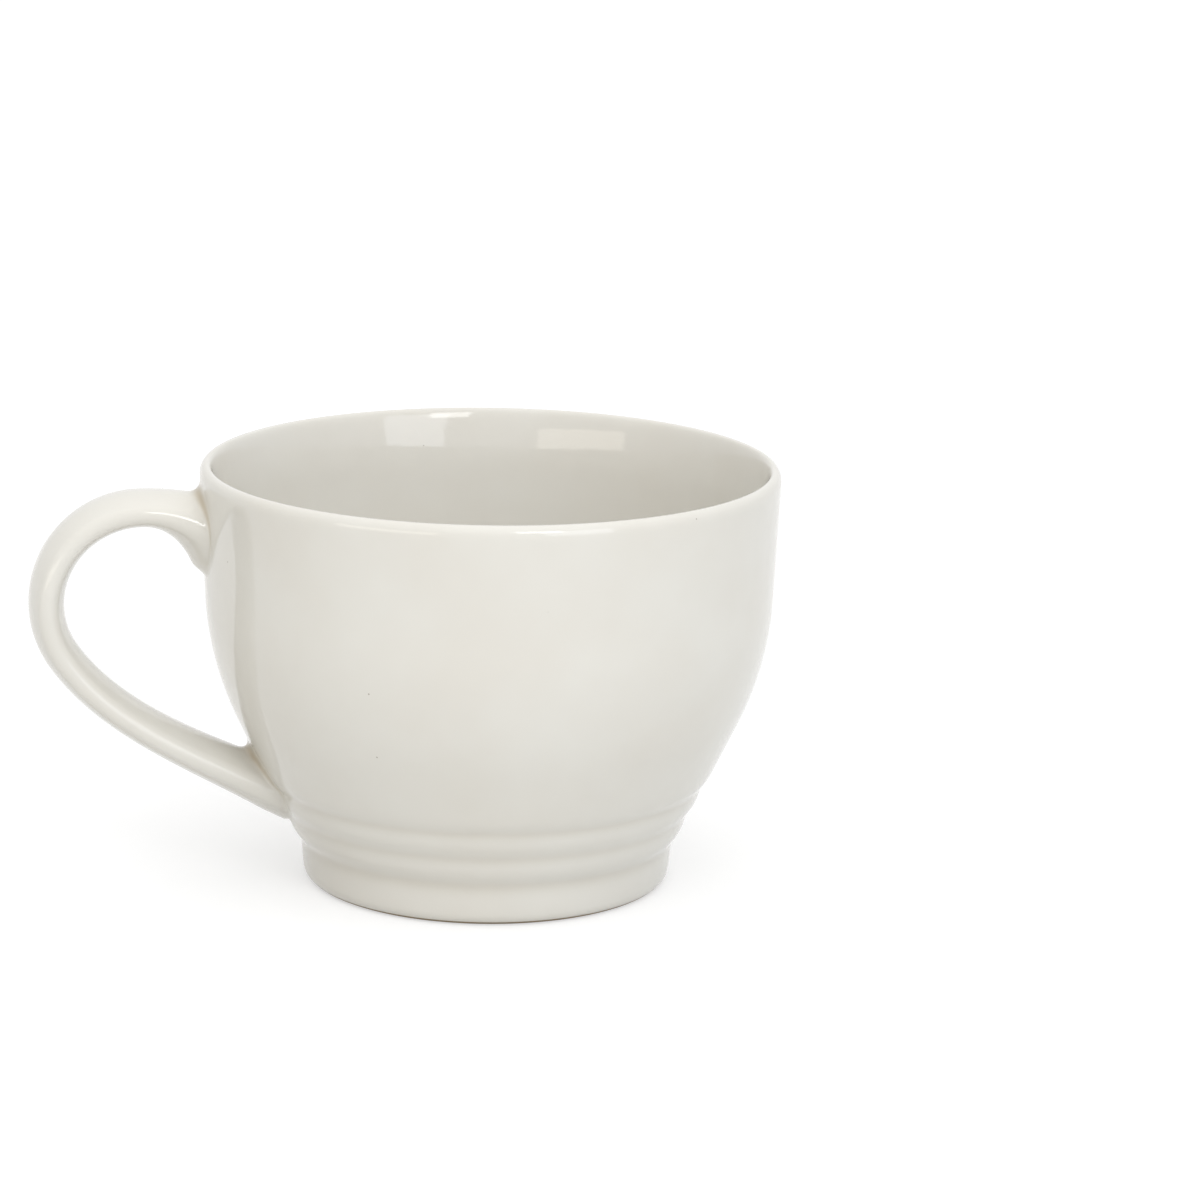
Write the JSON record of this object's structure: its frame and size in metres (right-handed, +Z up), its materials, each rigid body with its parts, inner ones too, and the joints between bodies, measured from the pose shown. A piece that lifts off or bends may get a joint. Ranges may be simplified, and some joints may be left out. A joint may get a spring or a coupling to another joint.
{
  "type": "soup mug",
  "caption": "Wide round-bellied stoneware soup mug in an ivory gloss glaze, with one pulled strap handle, a full-round lip, three soft rings above a straight foot and a shallow hollow under the floor.",
  "frame": {"origin": "centre of the foot on the table plane, on the mug's axis", "axes": "+Z up along the mug's axis; the handle points along -X and is mirror-symmetric about the XZ plane"},
  "size_m": [0.1619, 0.1252, 0.092],
  "materials": {
    "glazed_stoneware": "gloss"
  },
  "bodies": {
    "root": {"mug_body": "glazed_stoneware", "handle": "glazed_stoneware", "upper_slip_joint": "glazed_stoneware", "lower_slip_joint": "glazed_stoneware"}
  },
  "joints": []
}
